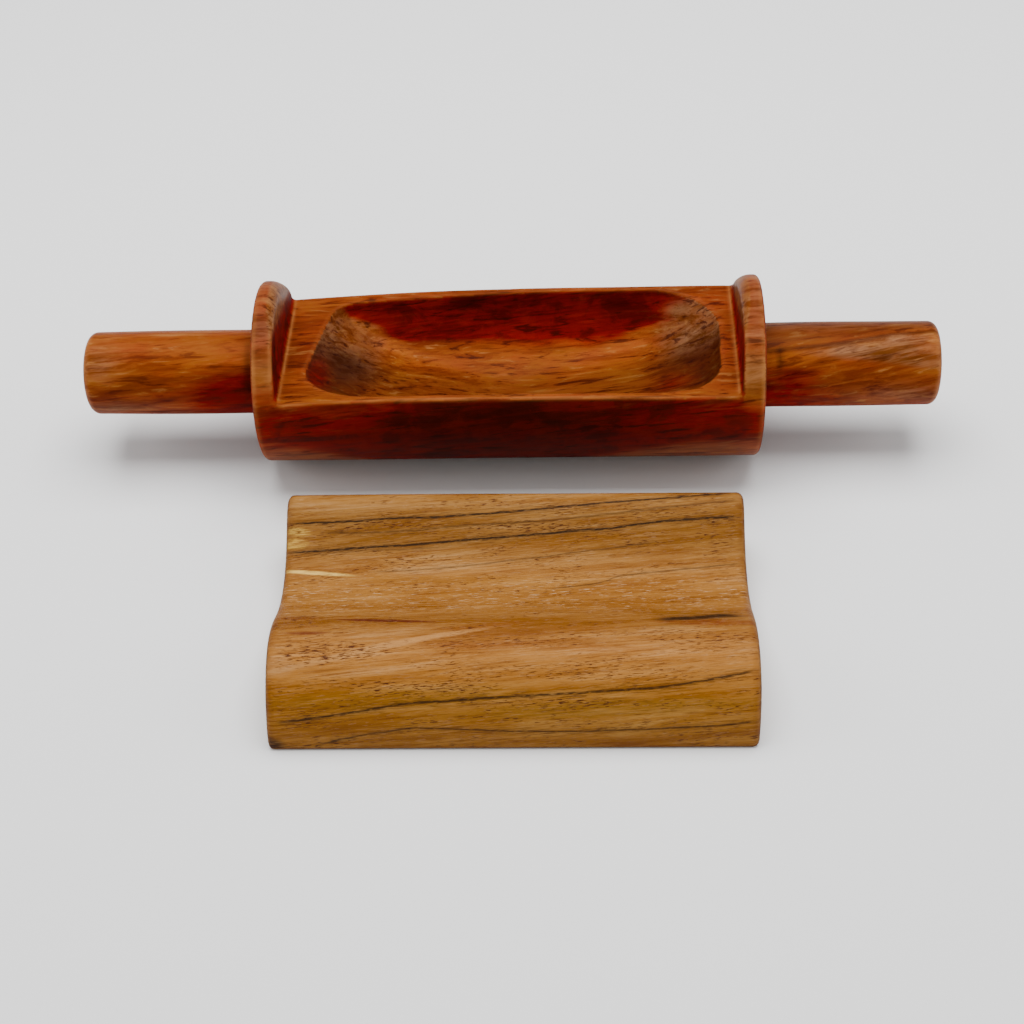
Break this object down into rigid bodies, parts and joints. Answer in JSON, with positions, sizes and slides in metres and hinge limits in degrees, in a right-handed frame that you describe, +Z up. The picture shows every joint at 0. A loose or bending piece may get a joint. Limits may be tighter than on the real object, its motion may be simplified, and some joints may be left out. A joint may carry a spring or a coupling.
{
  "type": "butter mold",
  "caption": "Wooden butter mold: a handled drum with a carved trough between round cheeks, and a wave-shaped board that fits between the cheeks.",
  "frame": {"origin": "on the table plane, under the middle of the bounding box of the two pieces", "axes": "+X along the drum and handles to the right, +Y from the board towards the drum, +Z up"},
  "size_m": [0.31, 0.1799, 0.066],
  "materials": {
    "dark_wood": "satin varnish over red-brown stain",
    "handle_wood": "satin varnish over red-brown stain",
    "light_wood": "thin satin oil, open grain"
  },
  "bodies": {
    "board": {"shaping_board": "light_wood"},
    "drum": {"trough_drum": "dark_wood", "left_handle": "handle_wood", "right_handle": "handle_wood"}
  },
  "joints": [
    {"name": "turn_over", "type": "hinge", "parent": "board", "child": "drum", "pos_m": [0, 0.0063, 0.03655], "axis": [1, 0, 0], "range_deg": [0, 180]}
  ]
}
